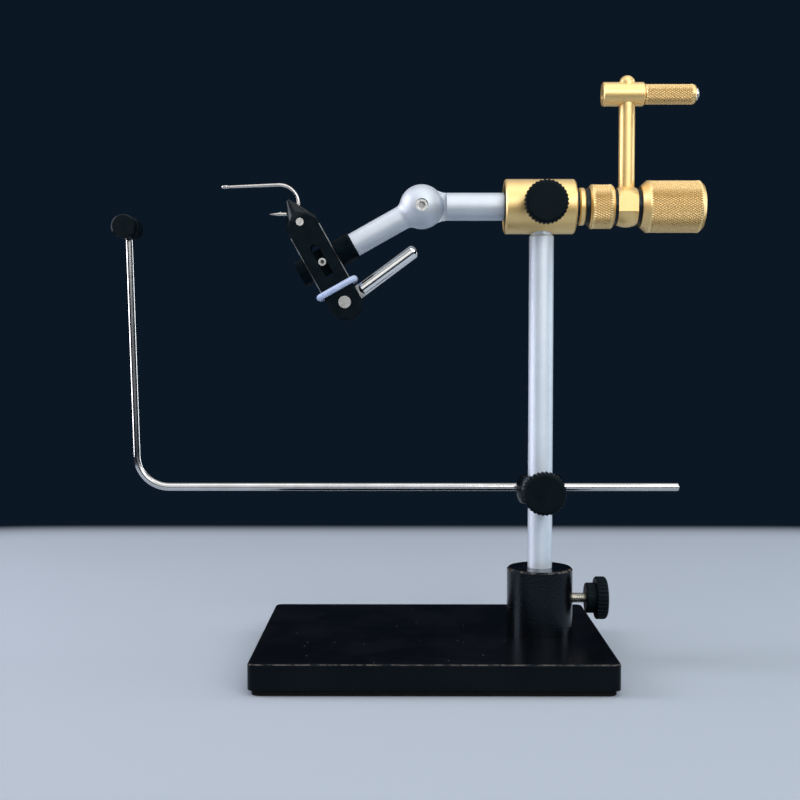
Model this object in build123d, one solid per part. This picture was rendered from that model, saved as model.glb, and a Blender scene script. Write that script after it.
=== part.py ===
from build123d import *
from itertools import accumulate
import math
import os

# Fly tying vise on a pedestal base, in millimetres.
# The origin is the centre of the pad's underside, on the table.
# +X runs from the jaws to the crank, +Y away from the lock knobs and +Z up.

# Clearances
RUN_GAP = 0.06
SEAT_GAP = 0.03
FACE_GAP = 0.1
TOUCH_GAP = 0.15
WASHER_EDGE = 0.15

# Base
BASE_LENGTH = 132.5
BASE_WIDTH = 100.0
BASE_THICKNESS = 9.5
BASE_CORNER = 3.0
BASE_EDGE = 0.8
PAD_THICKNESS = 2.2
PAD_INSET = 1.3

# Pedestal and its bolt
PEDESTAL_DIAMETER = 25.6
PEDESTAL_HEIGHT = 25.5
PEDESTAL_EDGE = 0.7
SOCKET_FLOOR = 6.0
BOLT_DIAMETER = 6.0
BOLT_HEAD_DIAMETER = 12.0
BOLT_GRIP = 4.5
BOLT_TIP_ROOM = 0.5
BOLT_SOCKET = 4.0
BOLT_SOCKET_DEPTH = 2.4

# Post, its axis measured from the base's rear end
POST_INSET = 23.75
POST_DIAMETER = 9.5
POST_CHAMFER = 0.55
POST_NECK_DIAMETER = 8.4
POST_TOP_GAP = 0.4

# Thumbscrews, one pattern used three times
STUD_DIAMETER = 4.0
KNOB_HUB_DIAMETER = 11.8
KNOB_HUB_LENGTH = 3.8
KNOB_HUB_EDGE = 0.4
KNOB_WHEEL_DIAMETER = 16.6
KNOB_WHEEL_LENGTH = 4.5
KNOB_WHEEL_ROUND = 1.5
KNOB_WHEEL_EDGE = 0.4
KNOB_RIBS = 32
KNOB_GROOVE_RADIUS = 0.55
KNOB_GROOVE_DEPTH = 0.45
KNOB_STUD_DEPTH = 5.6
PEDESTAL_KNOB_GAP = 5.1
PEDESTAL_SCREW_DROP = 12.2
CLOSE_KNOB_GAP = 0.3

# Rotary head
HEAD_HEIGHT = 177.5
BARREL_DIAMETER = 21.1
BARREL_FRONT = 14.5
BARREL_REAR = 12.7
BARREL_EDGE = 0.6
RECESS_DIAMETER = 18.6
RECESS_DEPTH = 1.8
THRUST_WASHER_THICKNESS = 1.2
SHAFT_DIAMETER = 8.0
BUSH_DIAMETER = 12.0
BUSH_LENGTH = 8.6

# Drag stack and crank, in order from the barrel's rear face
BARREL_WASHER_LENGTH = 1.4
PRESSURE_RING_LENGTH = 2.4
RING_WASHER_LENGTH = 1.6
DRAG_RING_LENGTH = 9.4
HUB_WASHER_LENGTH = 1.4
HUB_LENGTH = 7.6
KNOB_WASHER_LENGTH = 1.5
HAND_KNOB_LENGTH = 23.9
BARREL_WASHER_DIAMETER = 13.4
PRESSURE_RING_DIAMETER = 14.5
PRESSURE_RING_EDGE = 0.5
RING_WASHER_DIAMETER = 14.0
DRAG_RING_DIAMETER = 17.1
DRAG_RING_CHAMFER = 0.8
HUB_WASHER_DIAMETER = 13.0
HUB_BALL_DIAMETER = 16.0
HUB_FLATS = 12.6
HUB_FLAT_FOOT = 2.4
KNOB_WASHER_DIAMETER = 13.2
HAND_KNOB_DIAMETER = 20.1
HAND_KNOB_FACE_DIAMETER = 15.8
HAND_KNOB_FRONT_CHAMFER = 2.3
HAND_KNOB_REAR_CHAMFER = 1.4
SHAFT_TIP_COVER = 5.0

# Crank handle
CRANK_ROD_DIAMETER = 6.2
CRANK_RADIUS = 43.0
HOLDER_DIAMETER = 9.2
HOLDER_FRONT = 9.6
HOLDER_REAR = 6.4
HOLDER_EDGE = 0.4
ROD_DOME_RISE = 2.6
HOLDER_SCREW_DIAMETER = 4.0
HOLDER_SCREW_LENGTH = 6.0
HOLDER_SCREW_SOCKET = 2.0
HOLDER_SCREW_SOCKET_DEPTH = 2.5
GRIP_DIAMETER = 7.75
GRIP_LENGTH = 20.4
GRIP_LIP = 0.1
AXLE_DIAMETER = 3.0
AXLE_SEAT = 2.6
AXLE_HEAD_DIAMETER = 4.8
AXLE_HEAD_LENGTH = 1.6
AXLE_HEAD_RISE = 1.0
AXLE_SOCKET = 2.0
AXLE_SOCKET_DEPTH = 1.5

# Knuckle between the two arms
KNUCKLE_REACH = 46.4
KNUCKLE_BALL_DIAMETER = 17.2
SPINDLE_ARM_DIAMETER = 10.7
SPINDLE_ARM_BLEND = 7.35
SPINDLE_ARM_EDGE = 0.7
FORWARD_ARM_DIAMETER = 9.3
FORWARD_ARM_BLEND = 4.0
KNUCKLE_SCREW_DIAMETER = 3.0
KNUCKLE_HEAD_DIAMETER = 4.8
KNUCKLE_HEAD_SINK = 1.5
KNUCKLE_HEAD_LENGTH = 2.4
KNUCKLE_SCREW_GRIP = 5.5
KNUCKLE_SOCKET = 2.5
KNUCKLE_SOCKET_DEPTH = 1.5

# Jaw carriage at the end of the forward arm
ARM_DROP = 29.2
ARM_LENGTH = 43.9
CARRIAGE_DIAMETER = 10.6
CARRIAGE_FLANGE = 3.4
CARRIAGE_BOSS = 7.2
CARRIAGE_EDGE = 0.9
CARRIAGE_TONGUE = 2.4
SPIGOT_DIAMETER = 6.0
SPIGOT_LENGTH = 6.0
GUIDE_STUD_DIAMETER = 3.0
GUIDE_STUD_SINK = 0.5
GUIDE_STUD_SOCKET = 1.5
GUIDE_STUD_SOCKET_DEPTH = 1.4

# Jaw plates, measured from the guide stud along the jaw
JAW_WIDTH = 12.7
JAW_SIDE_GAP = 0.25
JAW_OUTER = 4.0
JAW_NOSE_INNER = 0.7
JAW_TAIL_INNER = 1.65
JAW_STEP = 10.7
JAW_APEX = 29.0
JAW_TIP = 27.7
JAW_NOSE_ANGLE = 28.5
JAW_EDGE = 0.35
SLOT_WIDTH = 3.3
SLOT_TOP = 5.8
SLOT_BOTTOM = 4.9
JAW_PIN_HEIGHT = 17.55
JAW_PIN_DIAMETER = 2.0
JAW_PIN_HEAD_DIAMETER = 3.0
JAW_PIN_HEAD_LENGTH = 0.8
CAM_PIN_DEPTH = 17.7
JAW_TAIL = 0.8
CAM_PIN_DIAMETER = 3.0
CAM_PIN_HEAD_DIAMETER = 4.8
CAM_PIN_HEAD_LENGTH = 1.2
PIN_HOLE_GAP = 0.2
PIN_HEAD_GAP = 0.35

# Ring round the jaws, and the cam lever
O_RING_WIRE = 2.0
O_RING_DEPTH = 11.6
O_RING_CORNER = 1.5
LEVER_TONGUE = 2.3
LEVER_DISC_DIAMETER = 12.0
LEVER_NECK_START = 7.2
LEVER_START = 8.3
LEVER_END = 34.4
LEVER_DIAMETER = 5.3
LEVER_TIP_FLAT = 1.5
LEVER_LIFT = 7.3

# Workpiece in the jaws, measured from the jaw tip
HOOK_WIRE = 1.25
HOOK_SHANK_RISE = 5.7
HOOK_SHANK_LENGTH = 22.2
HOOK_BEND_REACH = 4.2
HOOK_BEND_RADIUS = 7.4
HOOK_THROAT_RADIUS = 3.9
HOOK_SPEAR_LENGTH = 3.1
HOOK_POINT_LENGTH = 4.3
HOOK_TIP_DIAMETER = 0.15
HOOK_EYE_RADIUS = 1.2
HOOK_EYE_WIRE = 1.0

# Thread cradle
COLLAR_DIAMETER = 18.8
COLLAR_HEIGHT = 10.7
COLLAR_CENTRE = 67.9
COLLAR_EDGE = 0.6
CRADLE_ROD_DIAMETER = 3.1
CRADLE_ROD_REAR = 55.5
CRADLE_ROD_FRONT = 158.6
CRADLE_ROD_EDGE = 0.3
CRADLE_BEND = 12.5
CRADLE_LEAN = 1.5
CRADLE_LEG = 101.9
SPOOL_DIAMETER = 9.4
SPOOL_BODY_LENGTH = 9.0
SPOOL_NECK_LENGTH = 2.6
SPOOL_NECK_DIAMETER = 6.4
SPOOL_FLANGE_LENGTH = 3.5
SPOOL_EDGE = 0.5

# Places worked out from the sizes above
BASE_TOP = PAD_THICKNESS + BASE_THICKNESS
PEDESTAL_TOP = BASE_TOP + PEDESTAL_HEIGHT
SOCKET_BOTTOM = BASE_TOP + SOCKET_FLOOR
POST_X = BASE_LENGTH / 2 - POST_INSET
POST_RADIUS = POST_DIAMETER / 2
SHAFT_RADIUS = SHAFT_DIAMETER / 2
BARREL_RADIUS = BARREL_DIAMETER / 2
BARREL_LEFT = POST_X - BARREL_FRONT
BARREL_RIGHT = POST_X + BARREL_REAR
RECESS_FLOOR = BARREL_LEFT + RECESS_DEPTH
THRUST_FACE = RECESS_FLOOR - THRUST_WASHER_THICKNESS
ARM_SHOULDER = THRUST_FACE - TOUCH_GAP
SHAFT_SEAT = SHAFT_DIAMETER + 2 * SEAT_GAP
SHAFT_RUN = SHAFT_DIAMETER + 2 * RUN_GAP
STACK_LENGTHS = [
    BARREL_WASHER_LENGTH,
    PRESSURE_RING_LENGTH,
    RING_WASHER_LENGTH,
    DRAG_RING_LENGTH,
    HUB_WASHER_LENGTH,
    HUB_LENGTH,
    KNOB_WASHER_LENGTH,
    HAND_KNOB_LENGTH,
]
STACK = list(accumulate([BARREL_RIGHT] + STACK_LENGTHS))
CRANK_X = (STACK[5] + STACK[6]) / 2
HANDLE_Z = HEAD_HEIGHT + CRANK_RADIUS
KNUCKLE_X = POST_X - KNUCKLE_REACH
CARRIAGE_CHANNEL = JAW_WIDTH / 2 + JAW_SIDE_GAP
CARRIAGE_END = CARRIAGE_CHANNEL + CARRIAGE_BOSS
CRADLE_ROD_Y = POST_RADIUS + TOUCH_GAP + CRADLE_ROD_DIAMETER / 2
HEAD_AXIS = Pos(0, 0, HEAD_HEIGHT)
KNUCKLE = Pos(KNUCKLE_X, 0, HEAD_HEIGHT)
JAW_FRAME = KNUCKLE * Rot(0, -ARM_DROP, 0) * Pos(-ARM_LENGTH, 0, 0)
CAM_FRAME = JAW_FRAME * Pos(0, 0, -CAM_PIN_DEPTH)
TO_FRONT = Rot(90, 0, 0)
TO_RIGHT = Rot(0, 90, 0)
ON_FLOOR = (Align.CENTER, Align.CENTER, Align.MIN)


def drum(diameter, low, high):
    """A cylinder about Z between two heights."""
    return Pos(0, 0, low) * Cylinder(diameter / 2, high - low, align=ON_FLOOR)


def turned(points):
    """A body turned about X from points given as (place along X, radius)."""
    outline = Polyline(*[(x, 0, r) for x, r in points], close=True)
    return revolve(make_face(outline), Axis.X)


def washer(start, end, diameter, bore, edge=WASHER_EDGE):
    """A flat ring about X with broken edges."""
    outer = diameter / 2
    inner = bore / 2
    points = [(start, inner), (start, outer - edge), (start + edge, outer)]
    points += [(end - edge, outer), (end, outer - edge), (end, inner)]
    return HEAD_AXIS * turned(points)


def hex_socket(across, depth, mouth):
    """Hexagonal recess about Z for a key, cut downwards from its mouth."""
    return Pos(0, 0, mouth) * extrude(RegularPolygon(across / 2, 6, major_radius=False), -depth)


# Thumbscrews
def thumb_knob():
    """Ribbed knob about Z, its hub's face at Z = 0."""
    top = KNOB_HUB_LENGTH + KNOB_WHEEL_LENGTH
    hub = drum(KNOB_HUB_DIAMETER, 0, KNOB_HUB_LENGTH)
    hub = chamfer(hub.edges().sort_by(Axis.Z)[0], KNOB_HUB_EDGE)
    wheel = drum(KNOB_WHEEL_DIAMETER, KNOB_HUB_LENGTH, top)
    wheel = fillet(wheel.edges().sort_by(Axis.Z)[-1], KNOB_WHEEL_ROUND)
    wheel = chamfer(wheel.edges().sort_by(Axis.Z)[0], KNOB_WHEEL_EDGE)
    groove = drum(KNOB_GROOVE_RADIUS * 2, KNOB_HUB_LENGTH, top)
    groove_place = KNOB_WHEEL_DIAMETER / 2 + KNOB_GROOVE_RADIUS - KNOB_GROOVE_DEPTH
    wheel -= PolarLocations(groove_place, KNOB_RIBS) * groove
    return hub + wheel - drum(STUD_DIAMETER + 2 * SEAT_GAP, 0, KNOB_STUD_DEPTH)


def clamp_stud(reach):
    """Threaded stud about Z that reaches below the knob's hub face."""
    return drum(STUD_DIAMETER, -reach, KNOB_STUD_DEPTH)


def stud_hole(length):
    """Hole along Z for a stud, from Z = 0 upwards."""
    return drum(STUD_DIAMETER + 2 * RUN_GAP, 0, length)


# Base and post
def base_plate():
    plate = Pos(0, 0, PAD_THICKNESS + BASE_THICKNESS / 2) * Box(BASE_LENGTH, BASE_WIDTH, BASE_THICKNESS)
    plate = fillet(plate.edges().filter_by(Axis.Z), BASE_CORNER)
    plate = fillet(plate.faces().sort_by(Axis.Z)[-1].edges(), BASE_EDGE)
    sink = BOLT_HEAD_DIAMETER / 2
    hole = BOLT_DIAMETER / 2 + SEAT_GAP
    cone = Cone(sink + SEAT_GAP, hole, sink - BOLT_DIAMETER / 2, align=ON_FLOOR)
    plate -= Pos(POST_X, 0, PAD_THICKNESS) * cone
    return plate - Pos(POST_X, 0, 0) * drum(2 * hole, PAD_THICKNESS, BASE_TOP)


def base_pad():
    length = BASE_LENGTH - 2 * PAD_INSET
    width = BASE_WIDTH - 2 * PAD_INSET
    return extrude(RectangleRounded(length, width, BASE_CORNER), PAD_THICKNESS)


def pedestal():
    body = drum(PEDESTAL_DIAMETER, BASE_TOP, PEDESTAL_TOP)
    body = chamfer(body.edges().sort_by(Axis.Z)[-1], PEDESTAL_EDGE)
    body -= drum(POST_DIAMETER + 2 * RUN_GAP, SOCKET_BOTTOM, PEDESTAL_TOP)
    body -= drum(BOLT_DIAMETER + 2 * SEAT_GAP, BASE_TOP, BASE_TOP + BOLT_GRIP + BOLT_TIP_ROOM)
    body -= Pos(0, 0, PEDESTAL_TOP - PEDESTAL_SCREW_DROP) * TO_RIGHT * stud_hole(PEDESTAL_DIAMETER)
    return Pos(POST_X, 0, 0) * body


def pedestal_bolt():
    head = BOLT_HEAD_DIAMETER / 2
    shank = BOLT_DIAMETER / 2
    sunk = Cone(head, shank, head - shank, align=ON_FLOOR)
    bolt = Pos(0, 0, PAD_THICKNESS) * sunk
    bolt += drum(BOLT_DIAMETER, PAD_THICKNESS + head - shank, BASE_TOP + BOLT_GRIP)
    bolt -= hex_socket(BOLT_SOCKET, BOLT_SOCKET_DEPTH, PAD_THICKNESS + BOLT_SOCKET_DEPTH)
    return Pos(POST_X, 0, 0) * bolt


def post():
    shoulder = HEAD_HEIGHT - BARREL_RADIUS - POST_TOP_GAP
    body = drum(POST_DIAMETER, SOCKET_BOTTOM, shoulder)
    body = chamfer(body.edges().sort_by(Axis.Z)[-1], POST_CHAMFER)
    body += drum(POST_NECK_DIAMETER, shoulder, HEAD_HEIGHT - BUSH_DIAMETER / 2 - TOUCH_GAP)
    return Pos(POST_X, 0, 0) * body


# Rotary head
def head_barrel():
    recess = RECESS_DIAMETER / 2
    bore = BUSH_DIAMETER / 2
    rim = BARREL_RADIUS - BARREL_EDGE
    points = [(BARREL_LEFT, recess), (BARREL_LEFT, rim), (BARREL_LEFT + BARREL_EDGE, BARREL_RADIUS)]
    points += [(BARREL_RIGHT - BARREL_EDGE, BARREL_RADIUS), (BARREL_RIGHT, rim), (BARREL_RIGHT, bore)]
    points += [(RECESS_FLOOR, bore), (RECESS_FLOOR, recess)]
    barrel = turned(points)
    barrel -= Pos(POST_X, 0, 0) * drum(POST_NECK_DIAMETER + 2 * SEAT_GAP, -BARREL_DIAMETER, 0)
    barrel -= Pos(POST_X, 0, 0) * TO_FRONT * stud_hole(BARREL_DIAMETER)
    return HEAD_AXIS * barrel


def bush(start):
    return washer(start, start + BUSH_LENGTH, BUSH_DIAMETER - 2 * SEAT_GAP, SHAFT_RUN)


def knuckle_arm(arm_diameter, blend, tail):
    """Ball, hollow blend and round arm about X, cut to the half that lies at +Y round the ball."""
    ball = KNUCKLE_BALL_DIAMETER / 2
    arm = arm_diameter / 2
    reach = math.sqrt((ball + blend) ** 2 - (arm + blend) ** 2)
    lean = math.atan2(arm + blend, reach)
    meet = (ball * math.cos(lean), 0, ball * math.sin(lean))
    crown = (ball * math.cos((lean + math.pi) / 2), 0, ball * math.sin((lean + math.pi) / 2))
    dip_angle = (lean + math.pi / 2) / 2
    dip = (reach - blend * math.cos(dip_angle), 0, arm + blend - blend * math.sin(dip_angle))
    outline = ThreePointArc((-ball, 0, 0), crown, meet)
    outline += ThreePointArc(meet, dip, (reach, 0, arm))
    outline += Polyline((reach, 0, arm), *[(x, 0, r) for x, r in tail], (-ball, 0, 0))
    body = revolve(make_face(outline), Axis.X)
    room = Box(2 * ball + reach, 2 * ball, 4 * ball, align=(Align.MAX, Align.MAX, Align.CENTER))
    body -= Pos(reach, FACE_GAP / 2, 0) * room
    return body


def spindle_arm():
    arm = SPINDLE_ARM_DIAMETER / 2
    shoulder = ARM_SHOULDER - KNUCKLE_X
    end = STACK[8] - SHAFT_TIP_COVER - KNUCKLE_X
    tail = [(shoulder - SPINDLE_ARM_EDGE, arm), (shoulder, arm - SPINDLE_ARM_EDGE)]
    tail += [(shoulder, SHAFT_RADIUS), (end, SHAFT_RADIUS), (end, 0)]
    body = knuckle_arm(SPINDLE_ARM_DIAMETER, SPINDLE_ARM_BLEND, tail)
    hole = KNUCKLE_SCREW_DIAMETER + 2 * RUN_GAP
    body -= TO_FRONT * drum(hole, -KNUCKLE_SCREW_GRIP - TOUCH_GAP, 0)
    return KNUCKLE * body


def drag_ring():
    start = STACK[3] + FACE_GAP / 2
    end = STACK[4] - FACE_GAP / 2
    return washer(start, end, DRAG_RING_DIAMETER, SHAFT_RUN, DRAG_RING_CHAMFER)


def crank_hub():
    hub = Sphere(HUB_BALL_DIAMETER / 2)
    hub &= Box(HUB_LENGTH, HUB_BALL_DIAMETER, HUB_BALL_DIAMETER)
    flat = Box(HUB_LENGTH, HUB_BALL_DIAMETER, HUB_BALL_DIAMETER, align=(Align.CENTER, Align.MIN, Align.MIN))
    for turn in (0, 180):
        hub -= Rot(0, 0, turn) * Pos(0, HUB_FLATS / 2, -HUB_FLAT_FOOT) * flat
    hub -= TO_RIGHT * drum(SHAFT_SEAT, -HUB_LENGTH, HUB_LENGTH)
    hub -= drum(CRANK_ROD_DIAMETER + 2 * SEAT_GAP, 0, HUB_BALL_DIAMETER)
    return Pos(CRANK_X, 0, HEAD_HEIGHT) * hub


def hand_knob():
    start = STACK[7]
    end = STACK[8]
    rim = HAND_KNOB_DIAMETER / 2
    bore = SHAFT_RADIUS + SEAT_GAP
    bore_end = end - SHAFT_TIP_COVER + TOUCH_GAP
    points = [(start, bore), (start, HAND_KNOB_FACE_DIAMETER / 2), (start + HAND_KNOB_FRONT_CHAMFER, rim)]
    points += [(end - HAND_KNOB_REAR_CHAMFER, rim), (end, rim - HAND_KNOB_REAR_CHAMFER)]
    points += [(end, 0), (bore_end, 0), (bore_end, bore)]
    return HEAD_AXIS * turned(points)


# Crank handle
def crank_rod():
    radius = CRANK_ROD_DIAMETER / 2
    top = CRANK_RADIUS + HOLDER_DIAMETER / 2 + ROD_DOME_RISE - radius
    rod = drum(CRANK_ROD_DIAMETER, SHAFT_RADIUS + TOUCH_GAP, top)
    rod += Pos(0, 0, top) * Sphere(radius)
    return Pos(CRANK_X, 0, HEAD_HEIGHT) * rod


def handle_holder():
    body = TO_RIGHT * drum(HOLDER_DIAMETER, -HOLDER_FRONT, HOLDER_REAR)
    body = chamfer(body.edges().filter_by(GeomType.CIRCLE), HOLDER_EDGE)
    body -= drum(CRANK_ROD_DIAMETER + 2 * RUN_GAP, -HOLDER_DIAMETER, HOLDER_DIAMETER)
    body -= TO_RIGHT * drum(HOLDER_SCREW_DIAMETER + 2 * SEAT_GAP, -HOLDER_FRONT, 0)
    body -= TO_RIGHT * drum(AXLE_DIAMETER + 2 * SEAT_GAP, HOLDER_REAR - AXLE_SEAT, HOLDER_REAR)
    return Pos(CRANK_X, 0, HANDLE_Z) * body


def holder_set_screw():
    tip = CRANK_ROD_DIAMETER / 2 + TOUCH_GAP
    mouth = tip + HOLDER_SCREW_LENGTH
    screw = drum(HOLDER_SCREW_DIAMETER, tip, mouth)
    screw -= hex_socket(HOLDER_SCREW_SOCKET, HOLDER_SCREW_SOCKET_DEPTH, mouth)
    return Pos(CRANK_X, 0, HANDLE_Z) * Rot(0, -90, 0) * screw


def grip_axle():
    end = HOLDER_REAR + FACE_GAP + GRIP_LENGTH
    seat = end - AXLE_HEAD_LENGTH
    top = end + AXLE_HEAD_RISE
    crown = ((AXLE_HEAD_DIAMETER / 2) ** 2 + AXLE_HEAD_RISE**2) / (2 * AXLE_HEAD_RISE)
    button = drum(AXLE_HEAD_DIAMETER, seat, top) & Pos(0, 0, top - crown) * Sphere(crown)
    axle = drum(AXLE_DIAMETER, HOLDER_REAR - AXLE_SEAT, seat) + button
    axle -= hex_socket(AXLE_SOCKET, AXLE_SOCKET_DEPTH, top)
    return Pos(CRANK_X, 0, HANDLE_Z) * TO_RIGHT * axle


def crank_grip():
    start = HOLDER_REAR + FACE_GAP
    end = start + GRIP_LENGTH
    grip = drum(GRIP_DIAMETER, start, end)
    wall = (GRIP_DIAMETER - AXLE_HEAD_DIAMETER) / 2 - RUN_GAP
    grip = fillet(grip.edges().sort_by(Axis.Z)[-1], wall - GRIP_LIP)
    grip -= drum(AXLE_DIAMETER + 2 * RUN_GAP, start, end)
    grip -= drum(AXLE_HEAD_DIAMETER + 2 * RUN_GAP, end - AXLE_HEAD_LENGTH - RUN_GAP, end)
    return Pos(CRANK_X, 0, HANDLE_Z) * TO_RIGHT * grip


# Forward arm and carriage
def forward_arm():
    arm = FORWARD_ARM_DIAMETER / 2
    end = ARM_LENGTH - CARRIAGE_END
    body = knuckle_arm(FORWARD_ARM_DIAMETER, FORWARD_ARM_BLEND, [(end, arm), (end, 0)])
    body -= TO_RIGHT * drum(SPIGOT_DIAMETER + 2 * SEAT_GAP, end - SPIGOT_LENGTH - TOUCH_GAP, end)
    ball = KNUCKLE_BALL_DIAMETER / 2
    seat = ball - KNUCKLE_HEAD_SINK - KNUCKLE_HEAD_LENGTH
    body -= TO_FRONT * drum(KNUCKLE_SCREW_DIAMETER + 2 * SEAT_GAP, -ball, 0)
    body -= TO_FRONT * drum(KNUCKLE_HEAD_DIAMETER + 2 * SEAT_GAP, -ball, -seat)
    return KNUCKLE * Rot(0, -ARM_DROP, 0) * Rot(0, 0, 180) * body


def knuckle_screw():
    top = KNUCKLE_BALL_DIAMETER / 2 - KNUCKLE_HEAD_SINK
    screw = drum(KNUCKLE_SCREW_DIAMETER, -KNUCKLE_SCREW_GRIP, top - KNUCKLE_HEAD_LENGTH)
    screw += drum(KNUCKLE_HEAD_DIAMETER, top - KNUCKLE_HEAD_LENGTH, top)
    screw -= hex_socket(KNUCKLE_SOCKET, KNUCKLE_SOCKET_DEPTH, top)
    return KNUCKLE * TO_FRONT * screw


def jaw_carriage():
    start = -CARRIAGE_CHANNEL - CARRIAGE_FLANGE
    body = TO_RIGHT * drum(CARRIAGE_DIAMETER, start, CARRIAGE_END)
    ends = body.edges().filter_by(GeomType.CIRCLE).sort_by(Axis.X)
    body = chamfer(ends[-1], CARRIAGE_EDGE)
    on_tongue = (Align.CENTER, Align.MIN, Align.CENTER)
    channel = Box(2 * CARRIAGE_CHANNEL, CARRIAGE_DIAMETER, CARRIAGE_DIAMETER, align=on_tongue)
    for turn in (0, 180):
        body -= Rot(0, 0, turn) * Pos(0, CARRIAGE_TONGUE / 2, 0) * channel
    body += TO_RIGHT * drum(SPIGOT_DIAMETER, CARRIAGE_END, CARRIAGE_END + SPIGOT_LENGTH)
    body -= TO_FRONT * drum(GUIDE_STUD_DIAMETER + 2 * SEAT_GAP, -CARRIAGE_DIAMETER, CARRIAGE_DIAMETER)
    return JAW_FRAME * body


def jaw_guide_stud():
    reach = JAW_OUTER - GUIDE_STUD_SINK
    stud = drum(GUIDE_STUD_DIAMETER, -reach, reach)
    stud -= hex_socket(GUIDE_STUD_SOCKET, GUIDE_STUD_SOCKET_DEPTH, reach)
    return JAW_FRAME * TO_FRONT * stud


# Jaw plates
def jaw_plate():
    """The plate on the +Y side, with its cone-shaped nose up."""
    half = JAW_WIDTH / 2
    tail = -CAM_PIN_DEPTH - JAW_TAIL
    left = (-half, 0, tail)
    right = (half, 0, tail)
    outline = Polyline(right, (half, 0, JAW_APEX), (-half, 0, JAW_APEX), left)
    outline += ThreePointArc(left, (0, 0, tail - half), right)
    thickness = JAW_OUTER - JAW_NOSE_INNER
    plate = Pos(0, JAW_NOSE_INNER, 0) * extrude(make_face(outline), thickness, dir=(0, 1, 0))
    plate = chamfer(plate.faces().sort_by(Axis.Y)[-1].edges(), JAW_EDGE)
    slope = math.tan(math.radians(JAW_NOSE_ANGLE))
    tip = (JAW_APEX - JAW_TIP) * slope
    skirt = JAW_WIDTH
    skirt_end = tail - JAW_WIDTH
    nose = [(0, 0, JAW_TIP), (tip, 0, JAW_TIP), (skirt, 0, JAW_APEX - skirt / slope)]
    nose += [(skirt, 0, skirt_end), (0, 0, skirt_end)]
    plate &= revolve(make_face(Polyline(*nose, close=True)), Axis.Z)
    relief = Box(JAW_WIDTH, JAW_TAIL_INNER, 3 * JAW_APEX, align=(Align.CENTER, Align.MIN, Align.MAX))
    plate -= Pos(0, 0, JAW_STEP) * relief
    slot = SlotCenterToCenter(SLOT_TOP + SLOT_BOTTOM, SLOT_WIDTH, rotation=90)
    slot = Pos(0, (SLOT_TOP - SLOT_BOTTOM) / 2) * slot
    plate -= TO_FRONT * extrude(slot, JAW_OUTER + JAW_EDGE, both=True)
    for height, shank, head, length in (
        (JAW_PIN_HEIGHT, JAW_PIN_DIAMETER, JAW_PIN_HEAD_DIAMETER, JAW_PIN_HEAD_LENGTH),
        (-CAM_PIN_DEPTH, CAM_PIN_DIAMETER, CAM_PIN_HEAD_DIAMETER, CAM_PIN_HEAD_LENGTH),
    ):
        place = Pos(0, 0, height) * TO_FRONT
        floor = length + FACE_GAP - JAW_OUTER
        plate -= place * drum(shank + 2 * PIN_HOLE_GAP, -2 * JAW_OUTER, 0)
        plate -= place * drum(head + 2 * PIN_HEAD_GAP, -2 * JAW_OUTER, floor)
    return plate


def headed_pin(shank, head, length):
    """Pin along Y with a head sunk in each plate."""
    pin = drum(shank, -JAW_OUTER, JAW_OUTER)
    pin += drum(head, JAW_OUTER - length, JAW_OUTER)
    pin += drum(head, -JAW_OUTER, length - JAW_OUTER)
    return TO_FRONT * pin


def jaw_o_ring():
    wire = O_RING_WIRE / 2
    half_x = JAW_WIDTH / 2 + wire + SEAT_GAP
    half_y = JAW_OUTER + wire + SEAT_GAP
    loop = RectangleRounded(2 * half_x, 2 * half_y, O_RING_CORNER).wire()
    section = Plane(origin=(half_x, 0, 0), z_dir=(0, 1, 0)) * Circle(wire)
    return JAW_FRAME * Pos(0, 0, -O_RING_DEPTH) * sweep(section, path=loop)


def cam_lever():
    rod = LEVER_DIAMETER / 2
    neck = LEVER_TONGUE / 2
    points = [(LEVER_NECK_START, 0), (LEVER_NECK_START, neck), (LEVER_START, rod)]
    points += [(LEVER_END, rod), (LEVER_END, 0)]
    lever = turned(points)
    lever = fillet(lever.edges().filter_by(GeomType.CIRCLE).sort_by(Axis.X)[-1], rod - LEVER_TIP_FLAT / 2)
    tongue = TO_FRONT * drum(LEVER_DISC_DIAMETER, -neck, neck)
    tongue += Box(LEVER_START, LEVER_TONGUE, LEVER_DIAMETER, align=(Align.MIN, Align.CENTER, Align.CENTER))
    lever += tongue
    lever -= TO_FRONT * drum(CAM_PIN_DIAMETER + 2 * RUN_GAP, -LEVER_DIAMETER, LEVER_DIAMETER)
    return CAM_FRAME * Rot(0, -LEVER_LIFT, 0) * lever


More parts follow.
